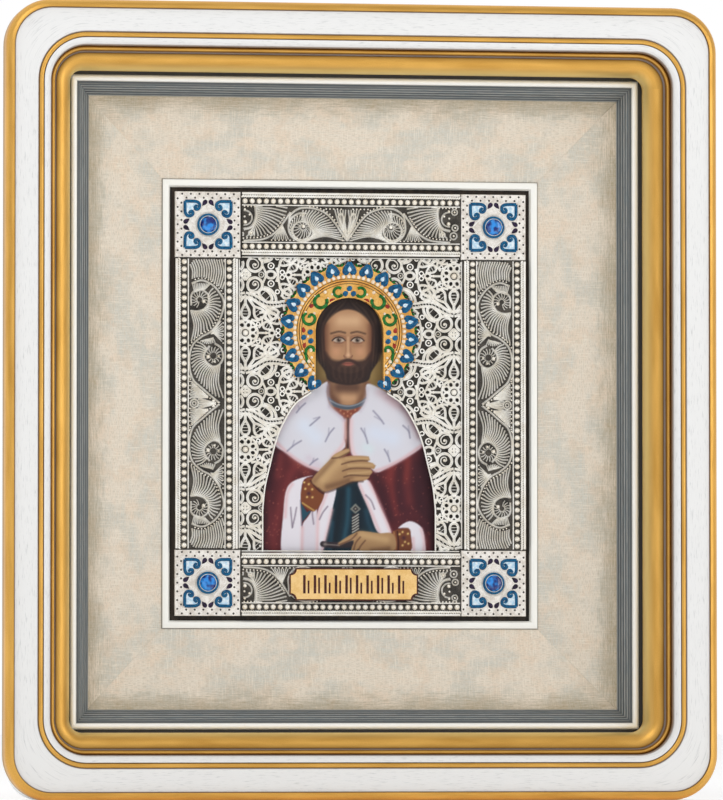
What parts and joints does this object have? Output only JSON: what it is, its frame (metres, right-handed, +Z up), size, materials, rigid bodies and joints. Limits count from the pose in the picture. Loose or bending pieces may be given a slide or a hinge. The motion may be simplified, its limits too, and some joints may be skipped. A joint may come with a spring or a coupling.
{
  "type": "framed icon panel",
  "caption": "Icon panel: painted half-length figure under a silvered filigree cover with halo and corner plates, in a mitred liner and a deep white and gilt moulded case.",
  "frame": {"origin": "middle of the underside of the case, halfway through its depth", "axes": "+Z up the panel, -Y out of the painted front, +X to the right of someone who looks at the front"},
  "size_m": [0.288, 0.05, 0.319],
  "materials": {
    "white_paint": "white painted wood with faint open grain, and satin gilt bands",
    "cream_paint": "brushed cream paint over wood, with a grey silvered reeded edge and a pale slip",
    "painted_board": "painted panel under satin varnish",
    "back_board": "plain brown back board",
    "dark_silver": "silvered sheet, oxidised dark",
    "bright_silver": "silvered filigree, bright on the high wires",
    "gilt_metal": "gilt metal with enamel",
    "blue_stone": "faceted blue glass stone"
  },
  "bodies": {
    "root": {"case_frame": "white_paint", "back_panel": "back_board", "liner_rail_top": "cream_paint", "liner_rail_bottom": "cream_paint", "liner_rail_left": "cream_paint", "liner_rail_right": "cream_paint", "icon_board": "painted_board", "cover_sheet": "dark_silver", "border_top": "bright_silver", "border_bottom": "bright_silver", "border_left": "bright_silver", "border_right": "bright_silver", "corner_plate_top_left": "bright_silver", "corner_plate_top_right": "bright_silver", "corner_plate_bottom_left": "bright_silver", "corner_plate_bottom_right": "bright_silver", "corner_stone_top_left": "blue_stone", "corner_stone_top_right": "blue_stone", "corner_stone_bottom_left": "blue_stone", "corner_stone_bottom_right": "blue_stone", "filigree_field": "bright_silver", "halo": "gilt_metal", "name_plate": "gilt_metal"}
  },
  "joints": []
}
